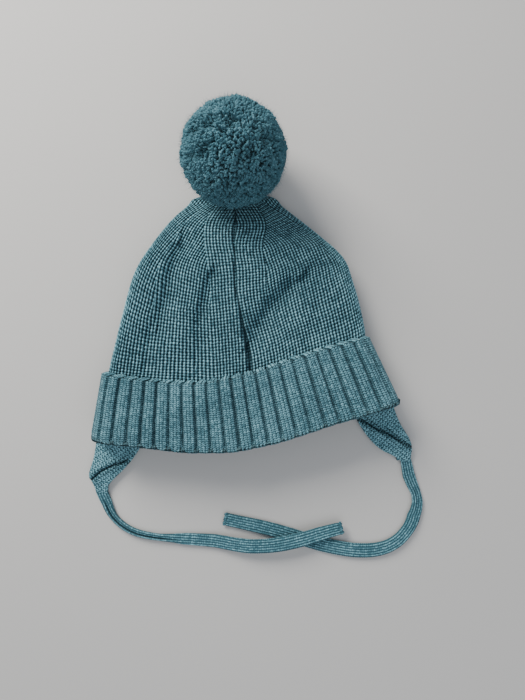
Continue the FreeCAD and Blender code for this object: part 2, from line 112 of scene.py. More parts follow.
def grid_piece(name, columns, rows, place, uv, shade=None):
    """A grid of columns by rows vertices, each moved to the place worked out from its column and row. Its
    corners carry wale and course counts, and its points the painted shade in a groove."""
    mesh = bpy.data.meshes.new(name)
    bm = bmesh.new()
    bmesh.ops.create_grid(bm, x_segments=columns - 1, y_segments=rows - 1, size=0.5)
    bm.to_mesh(mesh)
    bm.free()
    co = np.zeros(len(mesh.vertices) * 3, np.float32)
    mesh.vertices.foreach_get("co", co)
    co = co.reshape(-1, 3).astype(float)
    column = np.rint((co[:, 0] + 0.5) * (columns - 1)).astype(int)
    row = np.rint((co[:, 1] + 0.5) * (rows - 1)).astype(int)
    points = place(column, row) * MM
    mesh.vertices.foreach_set("co", points.astype(np.float32).ravel())
    layer = mesh.uv_layers.new(name="knit")
    corners = np.zeros(len(mesh.loops), np.int32)
    mesh.loops.foreach_get("vertex_index", corners)
    values = uv(column[corners], row[corners], points[corners] / MM)
    layer.data.foreach_set("uv", values.astype(np.float32).ravel())
    dark = mesh.attributes.new("shade", "FLOAT", "POINT")
    if shade is not None:
        dark.data.foreach_set("value", shade(column, row).astype(np.float32))
    mesh.polygons.foreach_set("use_smooth", [True] * len(mesh.polygons))
    mesh.update()
    piece = bpy.data.objects.new(name, mesh)
    bpy.context.scene.collection.objects.link(piece)
    return piece


# Lights, world and the plain pale floor.
# Soft window light comes from above the pom pom and a little to its left.
world = bpy.data.worlds.new("studio")
world.use_nodes = True
world.node_tree.nodes["Background"].inputs["Color"].default_value = (0.80, 0.87, 1.0, 1.0)
world.node_tree.nodes["Background"].inputs["Strength"].default_value = 0.54
bpy.context.scene.world = world


def area_light(name, size, power, place, aim, colour):
    light = bpy.data.lights.new(name, "AREA")
    light.size = size
    light.energy = power
    light.color = colour
    lamp = bpy.data.objects.new(name, light)
    lamp.location = place
    lamp.rotation_euler = (Vector(aim) - Vector(place)).to_track_quat("-Z", "Y").to_euler()
    bpy.context.scene.collection.objects.link(lamp)


area_light("window_key", 0.42, 12.6, (-0.46, 0.57, 0.45), (0.0, -0.02, 0.0), (1.0, 0.99, 0.96))
area_light("room_fill", 1.2, 4.2, (0.25, -0.55, 1.0), (0.0, -0.02, 0.0), (0.92, 0.96, 1.0))

floor_mesh = bpy.data.meshes.new("floor")
floor_bm = bmesh.new()
bmesh.ops.create_grid(floor_bm, x_segments=1, y_segments=1, size=1.6)
floor_bm.to_mesh(floor_mesh)
floor_bm.free()
floor = bpy.data.objects.new("floor", floor_mesh)
floor.location = (0.0, 0.0, -0.0002)
bpy.context.scene.collection.objects.link(floor)


# Materials.
# One class carries shader arithmetic, so that a formula reads as a formula.
class Value:
    def __init__(self, tree, socket):
        self.tree = tree
        self.socket = socket

    def _with(self, operation, other, swapped=False):
        node = self.tree.nodes.new("ShaderNodeMath")
        node.operation = operation
        pair = (other, self) if swapped else (self, other)
        for slot, item in zip(node.inputs, pair):
            if isinstance(item, Value):
                self.tree.links.new(item.socket, slot)
            elif item is not None:
                slot.default_value = item
        return Value(self.tree, node.outputs[0])

    def __add__(self, other):
        return self._with("ADD", other)

    def __radd__(self, other):
        return self._with("ADD", other, True)

    def __sub__(self, other):
        return self._with("SUBTRACT", other)

    def __rsub__(self, other):
        return self._with("SUBTRACT", other, True)

    def __mul__(self, other):
        return self._with("MULTIPLY", other)

    def __rmul__(self, other):
        return self._with("MULTIPLY", other, True)

    def power(self, other):
        return self._with("POWER", other)

    def least(self, other):
        return self._with("MINIMUM", other)

    def most(self, other):
        return self._with("MAXIMUM", other)

    def size(self):
        return self._with("ABSOLUTE", None)

    def cosine(self):
        return self._with("COSINE", None)

    def fraction(self):
        return self._with("FRACT", None)

    def whole(self):
        return self._with("FLOOR", None)

    def clamped(self):
        return self.most(0.0).least(1.0)


class Shader:
    def __init__(self, name):
        self.material = bpy.data.materials.new(name)
        self.material.use_nodes = True
        self.tree = self.material.node_tree
        self.surface = self.tree.nodes["Principled BSDF"]

    def node(self, kind, settings=None, **inputs):
        made = self.tree.nodes.new(kind)
        for name, value in (settings or {}).items():
            setattr(made, name, value)
        for name, value in inputs.items():
            slot = made.inputs[name.replace("_", " ")]
            self.put(slot, value)
        return made

    def put(self, slot, value):
        if isinstance(value, Value):
            self.tree.links.new(value.socket, slot)
        elif isinstance(value, bpy.types.NodeSocket):
            self.tree.links.new(value, slot)
        else:
            slot.default_value = value

    def value(self, socket):
        return Value(self.tree, socket)

    def mix(self, share, first, second):
        made = self.tree.nodes.new("ShaderNodeMix")
        made.data_type = "RGBA"
        self.put(made.inputs[0], share)
        self.put(made.inputs[6], first)
        self.put(made.inputs[7], second)
        return made.outputs[2]


# The dark colours are painted shade in stitch gaps, grooves and tuft roots, and the darker fibres of loose
# yarn.
# The light yarn colour is the lighter fibres, and also a painted highlight on the stitches' crests.
YARN_SHADE_AND_DARK_FIBRE = (0.0042, 0.0200, 0.0270, 1.0)
YARN_MID = (0.040, 0.112, 0.138, 1.0)
YARN_FLECK_AND_HIGHLIGHT = (0.275, 0.565, 0.635, 1.0)
STRIP_MID = (0.047, 0.130, 0.160, 1.0)
POM_SHADE_AND_DARK_FIBRE = (0.0100, 0.0380, 0.0480, 1.0)
POM_MID = (0.050, 0.134, 0.163, 1.0)
POM_LIGHT = (0.170, 0.350, 0.400, 1.0)


def wool(name, dark, mid, light, pattern, fleck=1.0, crest=0.72, base=-0.16):
    """Melange wool: mid yarn with lighter and darker fibres, and painted shade in stitch gaps and grooves.
    fleck, crest and base say how much light yarn shows in its fibres, as a painted highlight on its
    stitches' crests, and all over."""
    s = Shader(name)
    place = s.node("ShaderNodeTexCoord").outputs["Object"]
    melange = s.node("ShaderNodeTexNoise", Vector=place, Scale=950.0, Detail=3.0, Roughness=0.7)
    patch = s.node("ShaderNodeTexNoise", Vector=place, Scale=210.0, Detail=2.0, Roughness=0.5)
    broad = s.node("ShaderNodeTexNoise", Vector=place, Scale=38.0, Detail=1.0, Roughness=0.5)
    # The shade attribute holds painted shade in grooves and creases and at the pom's tuft roots.
    groove = s.node("ShaderNodeAttribute", {"attribute_name": "shade"})
    speck = s.value(melange.outputs["Fac"]) - 0.5
    cloud = s.value(patch.outputs["Fac"]) - 0.5
    wash = s.value(broad.outputs["Fac"]) - 0.5
    deep = s.value(groove.outputs["Fac"])
    height, gap, tone = pattern(s)
    # lit mixes light fibres, random stitch tones and a painted highlight on stitch crests, less under painted
    # shade.
    lit = speck * 2.6 * fleck + tone * 0.34 + cloud * 0.5 + wash * 0.5 + height * crest + base - deep * 0.35
    yarn = s.mix(lit.clamped(), mid, light)
    # The dark colour is painted shade in stitch gaps and grooves, and random darker fibres in loose yarn.
    colour = s.mix((gap + deep * 0.85 + speck * 0.8 * gap).clamped(), yarn, dark)
    bump = s.node("ShaderNodeBump", Strength=0.9, Distance=0.00034, Height=height + speck * 0.9 + tone * 0.15)
    s.put(s.surface.inputs["Base Color"], colour)
    s.put(s.surface.inputs["Normal"], bump.outputs["Normal"])
    s.surface.inputs["Roughness"].default_value = 0.92
    s.surface.inputs["Specular IOR Level"].default_value = 0.12
    s.surface.inputs["Sheen Weight"].default_value = 0.16
    s.surface.inputs["Sheen Roughness"].default_value = 0.5
    s.surface.inputs["Sheen Tint"].default_value = (0.55, 0.80, 0.86, 1.0)
    return s.material


def knit_uv(s, uneven_wale, uneven_course):
    """Wale and course counts, unsettled a little as real stitches are."""
    layer = s.node("ShaderNodeUVMap", {"uv_map": "knit"})
    place = s.node("ShaderNodeTexCoord").outputs["Object"]
    uneven = s.node("ShaderNodeTexNoise", Vector=place, Scale=330.0, Detail=2.0)
    count = s.node("ShaderNodeSeparateXYZ", Vector=layer.outputs["UV"])
    shift = s.node("ShaderNodeSeparateXYZ", Vector=uneven.outputs["Color"])
    wale = s.value(count.outputs["X"]) + (s.value(shift.outputs["X"]) - 0.5) * uneven_wale
    course = s.value(count.outputs["Y"]) + (s.value(shift.outputs["Y"]) - 0.5) * uneven_course
    return wale, course


def stitch_tone(s, wale, course):
    """A tone of its own for each stitch, from -0.5 to 0.5."""
    cell = s.node("ShaderNodeCombineXYZ", X=(wale + 0.5).whole(), Y=(course + 0.5).whole())
    tone = s.node("ShaderNodeTexWhiteNoise", {"noise_dimensions": "2D"}, Vector=cell.outputs["Vector"])
    return s.value(tone.outputs["Value"]) - 0.5


def beaded(s, wale, course, hole_depth, groove_depth, link_depth, bead=0.6):
    """Chains of beads along each wale, with a hole beside each link."""
    across = (wale * math.tau).cosine() * 0.5 + 0.5
    along = (course * math.tau).cosine() * 0.5 + 0.5
    hole = (1.0 - across).power(1.1) * (1.0 - along).power(0.8) * hole_depth
    groove = (1.0 - across).power(3.0) * groove_depth
    link = (1.0 - along).power(2.2) * across * link_depth
    height = across.power(1.2) * (along * bead + (1.0 - bead))
    # The second value is painted shade in the holes, wale grooves and links; the height also sets a painted
    # highlight.
    return height, hole + groove + link, stitch_tone(s, wale, course)


def stitched(s, wale, course, wale_gap, stitch_gap):
    """Plain knitting: the two slanted arms of each stitch in its wale."""
    off_wale = (wale.fraction() - 0.5).size() * 2.0
    slant = course + off_wale * 0.55
    stitch = (slant.fraction() - 0.5).size() * 2.0
    across = (wale * math.tau).cosine() * 0.5 + 0.5
    arm = ((off_wale - 0.5).size() * 2.0).power(2.0)
    gap = (1.0 - across).power(2.2) * wale_gap + stitch.power(2.2) * stitch_gap
    # The gap is painted shade between the wales and between the stitches' arms; the height also sets a
    # painted highlight.
    return (1.0 - stitch.power(2.0)) * (1.0 - arm * 0.5), gap, stitch_tone(s, wale, slant)


def rib_pattern(s):
    """Fine half-cardigan on the crown."""
    wale, course = knit_uv(s, 0.45, 0.75)
    return beaded(s, wale, course, 1.25, 0.42, 0.34)


WALES_IN_RIB = 4.0


def jersey_pattern(s):
    """Wide flat ribs of fine jersey."""
    wale, course = knit_uv(s, 0.08, 0.8)
    return stitched(s, wale * WALES_IN_RIB, course, 0.60, 0.50)


def seed_pattern(s):
    """Firm slanted rows of stitches on the ear flaps."""
    wale, course = knit_uv(s, 0.5, 0.8)
    return stitched(s, wale, course, 0.42, 0.60)


def strip_pattern(s):
    """The ties' lengthwise wales, with rows of small holes between them, painted dark as shade."""
    wale, course = knit_uv(s, 0.30, 0.7)
    return beaded(s, wale, course, 0.40, 0.34, 0.03, 0.25)


def loose_pattern(s):
    """Cut and sewing yarn, with no stitches."""
    place = s.node("ShaderNodeTexCoord").outputs["Object"]
    noise = s.node("ShaderNodeTexNoise", Vector=place, Scale=640.0, Detail=2.0, Roughness=0.6)
    lump = s.value(noise.outputs["Fac"])
    return lump * 0.75 - 0.05, (0.46 - lump) * 2.0, lump - 0.5


crown_wool = wool("crown_wool", YARN_SHADE_AND_DARK_FIBRE, YARN_MID, YARN_FLECK_AND_HIGHLIGHT, rib_pattern, 1.1, 0.94, -0.15)
cuff_wool = wool("cuff_wool", YARN_SHADE_AND_DARK_FIBRE, YARN_MID, YARN_FLECK_AND_HIGHLIGHT, jersey_pattern)
flap_wool = wool("flap_wool", YARN_SHADE_AND_DARK_FIBRE, STRIP_MID, YARN_FLECK_AND_HIGHLIGHT, seed_pattern, 1.3, 1.05, -0.12)
tie_wool = wool("tie_wool", YARN_SHADE_AND_DARK_FIBRE, STRIP_MID, YARN_FLECK_AND_HIGHLIGHT, strip_pattern, 1.1, 0.66, -0.20)
yarn_wool = wool("yarn_wool", YARN_SHADE_AND_DARK_FIBRE, YARN_MID, YARN_FLECK_AND_HIGHLIGHT, loose_pattern)
pom_wool = wool("pom_wool", POM_SHADE_AND_DARK_FIBRE, POM_MID, POM_LIGHT, loose_pattern)

floor_shader = Shader("pale_floor")
floor_shader.surface.inputs["Base Color"].default_value = (0.52, 0.50, 0.47, 1.0)
floor_shader.surface.inputs["Roughness"].default_value = 0.75
floor_mesh.materials.append(floor_shader.material)

# Ties.
# Each is a narrow strip of plain knitting, five or six wales wide. The left one is folded lengthwise where
# it leaves its flap.
TIE_WALE_PITCH = 1.42
TIE_COURSE_PITCH = 1.25
TIE_RING = 56
FOLD_OFF = 0.35


def seal(piece, gap, capped=True):
    """Joins the meeting edges of a piece's grid, closes its open ends and turns its faces outwards."""
    bm = bmesh.new()
    bm.from_mesh(piece.data)
    bmesh.ops.remove_doubles(bm, verts=bm.verts, dist=gap)
    if capped:
        bmesh.ops.holes_fill(bm, edges=bm.edges, sides=0)
    bmesh.ops.recalc_face_normals(bm, faces=bm.faces)
    bm.to_mesh(piece.data)
    bm.free()


def tie_ring(column):
    """How far across and up a column of the tie's tube lies, each from -1 to 1."""
    angle = column / (TIE_RING - 1) * math.tau
    flat = np.sign(np.cos(angle)) * np.abs(np.cos(angle)) ** 0.75
    lift = np.sign(np.sin(angle)) * np.abs(np.sin(angle)) ** 0.45
    return flat, lift


def tie_piece(name, line, end_at, shape_at):
    """A flat oval tube along the line, with lengthwise wales pressed into its two faces."""
    path, along = evenly(line, 0.62)
    path, along = path[along <= end_at], along[along <= end_at]
    tangent = np.gradient(path, axis=0)
    tangent /= np.linalg.norm(tangent, axis=1)[:, None]
    up = np.tile([0.0, 0.0, 1.0], (len(path), 1))
    side = np.cross(tangent, up)
    side /= np.linalg.norm(side, axis=1)[:, None]
    up = np.cross(side, tangent)
    width, shift, roll, folded = shape_at(along)
    thick = TIE_THICKNESS + 0.2 * folded
    middle = path + side * shift[:, None]
    turned = side * np.cos(roll)[:, None] + up * np.sin(roll)[:, None]
    raised = up * np.cos(roll)[:, None] - side * np.sin(roll)[:, None]

    def place(column, row):
        flat, lift = tie_ring(column)
        wale = flat * width[row] / 2 / TIE_WALE_PITCH
        ridge = np.cos(wale * math.tau) * 0.5 + 0.5
        bead = np.cos(along[row] / TIE_COURSE_PITCH * math.tau) * 0.5 + 0.5
        relief = 1.0 - 0.34 * (1 - ridge) + 0.10 * (bead - 0.5) * ridge
        relief = relief - folded[row] * 0.85 * np.exp(-(((flat * width[row] / 2 - FOLD_OFF) / 0.45) ** 2))
        edge = 1 + 0.02 * np.sin(along[row] / TIE_COURSE_PITCH * math.tau) + 0.025 * np.sin(along[row] / 9.0)
        return (
            middle[row]
            + turned[row] * (flat * width[row] / 2 * edge)[:, None]
            + raised[row] * (lift * relief * thick[row] / 2)[:, None]
        )

    # Painted shade along the crease where the left tie is folded lengthwise.
    def shade(column, row):
        flat, _ = tie_ring(column)
        return folded[row] * 0.95 * np.exp(-(((flat * width[row] / 2 - FOLD_OFF) / 0.42) ** 2))

    def uv(column, row, points):
        flat, _ = tie_ring(column)
        return np.stack([flat * width[row] / 2 / TIE_WALE_PITCH, along[row] / TIE_COURSE_PITCH], axis=1)

    piece = grid_piece(name, TIE_RING, len(path), place, uv, shade)
    seal(piece, 0.00001)
    piece.data.materials.append(tie_wool)
    return piece, path


def left_shape(along):
    """Folded in half lengthwise from the flap to a third of the way along, then opening out flat."""
    folded = np.clip((along - 3.0) / 8.0, 0, 1) * np.clip((60.0 - along) / 12.0, 0, 1)
    places = (0.0, 5.5, 11.5, 18.0, 29.0, 39.0, 47.0, 55.0, 62.0, 78.0, 95.0, 140.0, 155.0)
    width = np.interp(along, places, (6.8, 6.0, 5.2, 4.3, 4.2, 4.2, 4.0, 4.9, 6.4, 7.5, 8.2, 7.8, 7.0))
    shift = np.interp(along, (0.0, 8.0, 20.0, 60.0, 80.0, 100.0), (0.0, -0.9, -0.4, -0.4, -1.2, 0.0))
    return width, shift, 0.05 * np.sin(along / 17.0) + 0.10 * folded, folded


def right_shape(along):
    """Narrow at the flap and pinched again where it turns, and flat from there on."""
    places = (0.0, 3.0, 10.0, 17.0, 21.0, 26.0, 34.0, 45.0, 60.0, 80.0, 100.0, 120.0, 157.0)
    width = np.interp(along, places, (5.6, 6.3, 7.1, 6.3, 5.6, 6.5, 7.8, 7.4, 7.5, 8.0, 8.4, 7.8, 7.4))
    shift = np.interp(along, places[:10], (-2.6, -2.2, -1.1, -0.8, -1.1, -0.8, 0.9, 1.1, 0.3, 0.0))
    pinched = np.exp(-(((along - 22.0) / 7.0) ** 2))
    return width, shift, 0.25 * pinched + 0.04 * np.sin(along / 13.0), 0.45 * pinched


left_line = route_line("tie_left_route", TIE_LEFT_ROUTE)
right_line = route_line("tie_right_route", TIE_RIGHT_ROUTE)
tie_left, left_path = tie_piece("tie_left_knit", left_line, 152.8, left_shape)
tie_right, right_path = tie_piece("tie_right_knit", right_line, 200.0, right_shape)
for tie, nodes, body, start, end in (
    (tie_left, ("tie_left",), "flap_left", (-0.0855, -0.1092, 0.0015), (-0.0815, -0.1245, 0.0015)),
    (tie_right, ("tie_right",), "flap_right", (0.0890, -0.0918, 0.0015), (0.0890, -0.1078, 0.0015)),
):
    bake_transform(tie)
    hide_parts(*nodes)

# Bound-off ends of the ties.
# The last row of loops is pulled over itself, so each end is a short, firm row of knots across the strip.
END_LOOPS = 7


def tie_end_piece(name, path, width):
    """A row of small knots across the strip's end."""
    away = path[-1] - path[-6]
    away /= np.linalg.norm(away)
    side = np.array([-away[1], away[0], 0.0])
    side /= np.linalg.norm(side)
    mesh = bpy.data.meshes.new(name)
    bm = bmesh.new()
    for k in range(END_LOOPS):
        share = (k + 0.5) / END_LOOPS - 0.5
        middle = path[-1] + away * (0.9 + 0.25 * math.cos(k * 2.4)) + side * share * width
        knot = bmesh.ops.create_uvsphere(bm, u_segments=12, v_segments=8, radius=0.78 * MM)
        turn = Matrix.Rotation(math.atan2(away[1], away[0]) + 0.5, 4, "Z")
        stretch = Matrix.Diagonal((1.75, 0.95, 1.35, 1.0))
        move = Matrix.Translation(Vector(middle) * MM)
        bmesh.ops.transform(bm, matrix=move @ turn @ stretch, verts=knot["verts"])
    bmesh.ops.recalc_face_normals(bm, faces=bm.faces)
    for face in bm.faces:
        face.smooth = True
    bm.to_mesh(mesh)
    bm.free()
    piece = bpy.data.objects.new(name, mesh)
    bpy.context.scene.collection.objects.link(piece)
    mesh.materials.append(yarn_wool)
    return piece


tie_left_end = tie_end_piece("tie_left_bound_edge", left_path, 6.6)
tie_right_end = tie_end_piece("tie_right_bound_edge", right_path, 7.0)
for piece, node in ((tie_left_end, "tie_end_left"), (tie_right_end, "tie_end_right")):
    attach(piece, "hat")
    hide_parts(node)

left_path * MM
right_path * MM

# Crown.
# One tube of fine half-cardigan, narrowed by decreases in four lines and gathered at the tip. It lies flat,
# so its section is a soft stadium, and its centre-back seam is uppermost.
# Each station holds the section's left end, its right end, its underside and its top.
CROWN_STATIONS = (
    ((-83.4, -66.0), (73.0, -48.0), 2.9, 17.6),
    ((-80.8, -54.0), (66.2, -35.0), 2.9, 17.8),
    ((-77.9, -36.5), (64.4, -14.5), 2.6, 18.2),
    ((-75.2, -24.0), (62.2, -3.0), 0.8, 18.6),
    ((-70.6, -6.0), (58.0, 12.0), 0.3, 19.4),
    ((-62.4, 20.0), (52.0, 26.0), 0.3, 19.6),
    ((-49.5, 40.0), (38.8, 38.5), 0.3, 16.0),
    ((-42.0, 49.5), (26.6, 49.0), 0.4, 11.2),
    ((-35.5, 56.0), (18.6, 56.0), 0.6, 7.4),
    ((-31.5, 60.4), (14.8, 60.4), 0.9, 5.8),
    ((-26.5, 62.4), (10.6, 62.4), 1.6, 4.8),
)
SEAM_PATH = ((2.6, -72.0), (2.0, -60.0), (0.6, -39.5), (-0.5, -28.0), (-4.8, -5.0), (-7.6, 12.0),
             (-7.6, 29.0), (-8.0, 43.0), (-8.0, 60.0))
INNER_LEFT = ((-17.5, -60.0), (-19.0, -28.0), (-20.4, -5.0), (-21.2, 5.2), (-21.7, 15.6), (-22.8, 24.3),
              (-24.4, 33.0), (-24.0, 45.0), (-17.5, 58.0))
INNER_RIGHT = ((20.0, -60.0), (16.8, -28.0), (11.2, -5.0), (9.9, 4.1), (9.4, 17.2), (7.7, 31.3), (9.4, 43.9),
               (2.5, 58.0))
OUTER_LEFT = ((-60.0, -60.0), (-56.5, -28.0), (-53.4, -5.0), (-52.2, 2.5), (-51.1, 9.6), (-47.8, 24.3),
              (-41.9, 33.0), (-34.0, 46.0), (-22.0, 58.0))
OUTER_RIGHT = ((58.0, -60.0), (53.5, -28.0), (48.5, -5.0), (46.2, 6.0), (44.8, 15.5), (42.6, 22.6),
               (39.4, 31.3), (25.0, 45.0), (7.0, 58.0))
WALE_PITCH = 1.77
COURSE_PITCH = 1.72
DECREASE_START = 0.0
CROWN_LOW = -58.0
CROWN_HIGH = 62.0
TUCK_RISE = 3.0
TIP_CLOSING = 2.5
BACK_GRID = (300, 330)
FRONT_GRID = (360, 270)


def through(points, at):
    """A smooth curve through (value, position) pairs, read at some positions."""
    value = np.array([p[0] for p in points], float)
    where = np.array([p[1] for p in points], float)
    slope = np.gradient(value, where)
    k = np.clip(np.searchsorted(where, at) - 1, 0, len(where) - 2)
    gap = where[k + 1] - where[k]
    s = np.clip((at - where[k]) / gap, -0.2, 1.2)
    a = 2 * s**3 - 3 * s**2 + 1
    b = s**3 - 2 * s**2 + s
    c = -2 * s**3 + 3 * s**2
    d = s**3 - s**2
    return a * value[k] + b * gap * slope[k] + c * value[k + 1] + d * gap * slope[k + 1]


def smoothly(low, high, value):
    """0 below low, 1 above high, and a smooth step between them."""
    s = np.clip((value - low) / (high - low), 0.0, 1.0)
    return s * s * (3 - 2 * s)


def waves(x, y, length, seed):
    """A soft irregular swell between about -1 and 1, with bumps about as long as length."""
    r = np.random.default_rng(seed)
    total = np.zeros(np.broadcast(x, y).shape)
    for _ in range(7):
        angle, phase = r.uniform(0, math.tau, 2)
        scale = r.uniform(0.7, 1.5) * math.tau / length
        total = total + np.sin((x * math.cos(angle) + y * math.sin(angle)) * scale + phase)
    return total / 3.4


def near_line(x, y, start, end, width):
    """1 on the straight line from start to end, falling off over width, and the distance to its left."""
    a, b = np.array(start, float), np.array(end, float)
    run = b - a
    length = np.linalg.norm(run)
    s = np.clip(((x - a[0]) * run[0] + (y - a[1]) * run[1]) / length**2, 0, 1)
    dx, dy = x - a[0] - s * run[0], y - a[1] - s * run[1]
    signed = (run[0] * (y - a[1]) - run[1] * (x - a[0])) / length
    return np.exp(-(dx * dx + dy * dy) / width**2), signed


station_rows = [(*left_end, *right_end, under, top) for left_end, right_end, under, top in CROWN_STATIONS]
station_middles = [(row[1] + row[3]) / 2 for row in station_rows]


def station(y):
    """The crown's section where its middle is at y: its two ends, underside and top."""
    return [through(list(zip(column, station_middles)), y) for column in zip(*station_rows)]


def stadium(share, half_width, half_height):
    """Across and up from the middle of a flat oval, and the distance along it from the middle, for a share of
    its top."""
    half_height = np.minimum(half_height, half_width * 0.98)
    straight = half_width - half_height
    half = straight + half_height * math.pi / 2
    along = (share * 2 - 1) * half
    past = np.maximum(np.abs(along) - straight, 0) / half_height
    across = np.sign(along) * np.minimum(np.abs(along), straight)
    across = across + np.sign(along) * half_height * np.sin(past)
    return across, half_height * np.cos(past), along


def lines_at(y):
    """The lines between the crown's panels at y, from left to right: two of decreases, the seam, two more."""
    return [through(line, y) for line in (OUTER_LEFT, INNER_LEFT, SEAM_PATH, INNER_RIGHT, OUTER_RIGHT)]


def gore_pitch(width, start_width, y):
    """A gore's wale pitch: even where it narrows by decreases, and in step with its width below them."""
    return np.where(y < DECREASE_START, WALE_PITCH * width / start_width, WALE_PITCH)


def crown_fields(x, y, left_end, right_end, panel):
    """Wale and course counts at a place on the flattened crown, as its panel counts them. Each side counts
    its wales inwards from its own edge, and the two counts meet in the seam."""
    outer_left, inner_left, seam, inner_right, outer_right = lines_at(y)
    counts = [width / WALE_PITCH for width in START_WIDTHS]
    far_left = (x - left_end) / gore_pitch(outer_left - left_end, START_WIDTHS[0], y)
    near_left = counts[0] + (x - outer_left) / gore_pitch(inner_left - outer_left, START_WIDTHS[1], y)
    middle_left = counts[0] + counts[1] + (x - inner_left) / WALE_PITCH
    middle_right = counts[2] + counts[3] + (inner_right - x) / WALE_PITCH
    near_right = counts[3] + (outer_right - x) / gore_pitch(outer_right - inner_right, START_WIDTHS[2], y)
    far_right = (right_end - x) / gore_pitch(right_end - outer_right, START_WIDTHS[3], y)
    wale = np.choose(panel, [far_left, near_left, middle_left, middle_right, near_right, far_right])
    rise = 0.45 + 0.55 * smoothly(-30.0, 42.0, y)
    low = smoothly(-35.0, 35.0, -y)
    off_near = np.clip(inner_left - x, 0, None) + np.clip(x - inner_right, 0, None)
    off_far = np.clip(outer_left - x, 0, None) + np.clip(x - outer_right, 0, None)
    lean = 0.19 * low * np.clip(x - seam, 0.0, 25.0)
    course = (y - rise * (0.46 * off_near + 0.20 * off_far) - lean) / COURSE_PITCH
    return wale, course


def panel_at(x, y):
    """Which panel a place lies in, from 0 at the left to 5 at the right."""
    return sum((x > line).astype(int) for line in lines_at(y))


def fold_line(x, y, start, end, steep, gentle):
    """1 along a fold's bottom, falling off steeply to the left of its direction and gently to the right."""
    near_steep, over = near_line(x, y, start, end, steep)
    near_gentle, _ = near_line(x, y, start, end, gentle)
    return np.where(over > 0, near_steep, near_gentle)


# Each fold has its start, its end, how far its steep side and its gentle side reach, and its depth.
CROWN_FOLDS = (
    ((-49.7, -10.0), (-39.8, 29.4), 3.0, 9.5, 3.8),
    ((-57.0, -38.0), (-54.0, -14.0), 2.6, 7.0, 2.0),
    ((-29.0, -34.0), (-28.0, -7.0), 1.8, 6.0, 1.7),
    ((-28.0, -7.0), (-21.5, 14.0), 1.8, 6.0, 2.3),
    ((1.7, -18.0), (11.6, -2.3), 4.2, 10.0, 4.2),
    ((11.6, -2.3), (23.0, 9.5), 4.4, 11.0, 5.0),
    ((31.0, -26.0), (36.0, -2.0), 2.6, 6.0, 1.3),
)


def crown_folds(x, y):
    """The soft hollows and swellings of the crown as it lies."""
    height = 0.7 * waves(x, y, 46.0, 3) + 0.3 * waves(x, y, 17.0, 5)
    dips = [depth * fold_line(x, y, *fold) for *fold, depth in CROWN_FOLDS]
    return (height - np.max(dips, axis=0)) * smoothly(-56.0, -45.0, y)


def crown_surface(share, y_row, side):
    """A place on the crown's outer face. side is 1 for the back, which is uppermost, and -1 for the front."""
    left_x, left_y, right_x, right_y, under, top = station(y_row)
    half_width = (right_x - left_x) / 2
    half_height = (top - under) / 2
    across, up, along = stadium(share, half_width, half_height)
    middle_x = (left_x + right_x) / 2
    lean = (right_y - left_y) / (right_x - left_x)
    x = middle_x + across
    flat_x = middle_x + along
    half = half_width + half_height * (math.pi / 2 - 1)
    pinch = np.sqrt(np.clip((CROWN_HIGH - y_row) / TIP_CLOSING, 0.0, 1.0))
    place = (x, y_row + lean * across, (top + under) / 2 + side * up * pinch)
    return place, flat_x, middle_x - half, middle_x + half, along / half, half_height / half


start_lines = [float(line) for line in lines_at(np.array(DECREASE_START))]
_, _, start_left, start_right, _, _ = crown_surface(np.array(0.5), np.array(DECREASE_START), 1)
START_WIDTHS = (
    start_lines[0] - float(start_left),
    start_lines[1] - start_lines[0],
    start_lines[4] - start_lines[3],
    float(start_right) - start_lines[4],
)


def seam_groove(flat_x, y_row):
    """How deep the seam's groove lies, from 0 to 1; it opens towards the cuff."""
    low = smoothly(-4.0, 34.0, -y_row)
    off = flat_x - through(SEAM_PATH, y_row) + 0.3 * np.sin(y_row / 4.3)
    return np.exp(-((off / (0.75 + 0.55 * low)) ** 2)), off, low


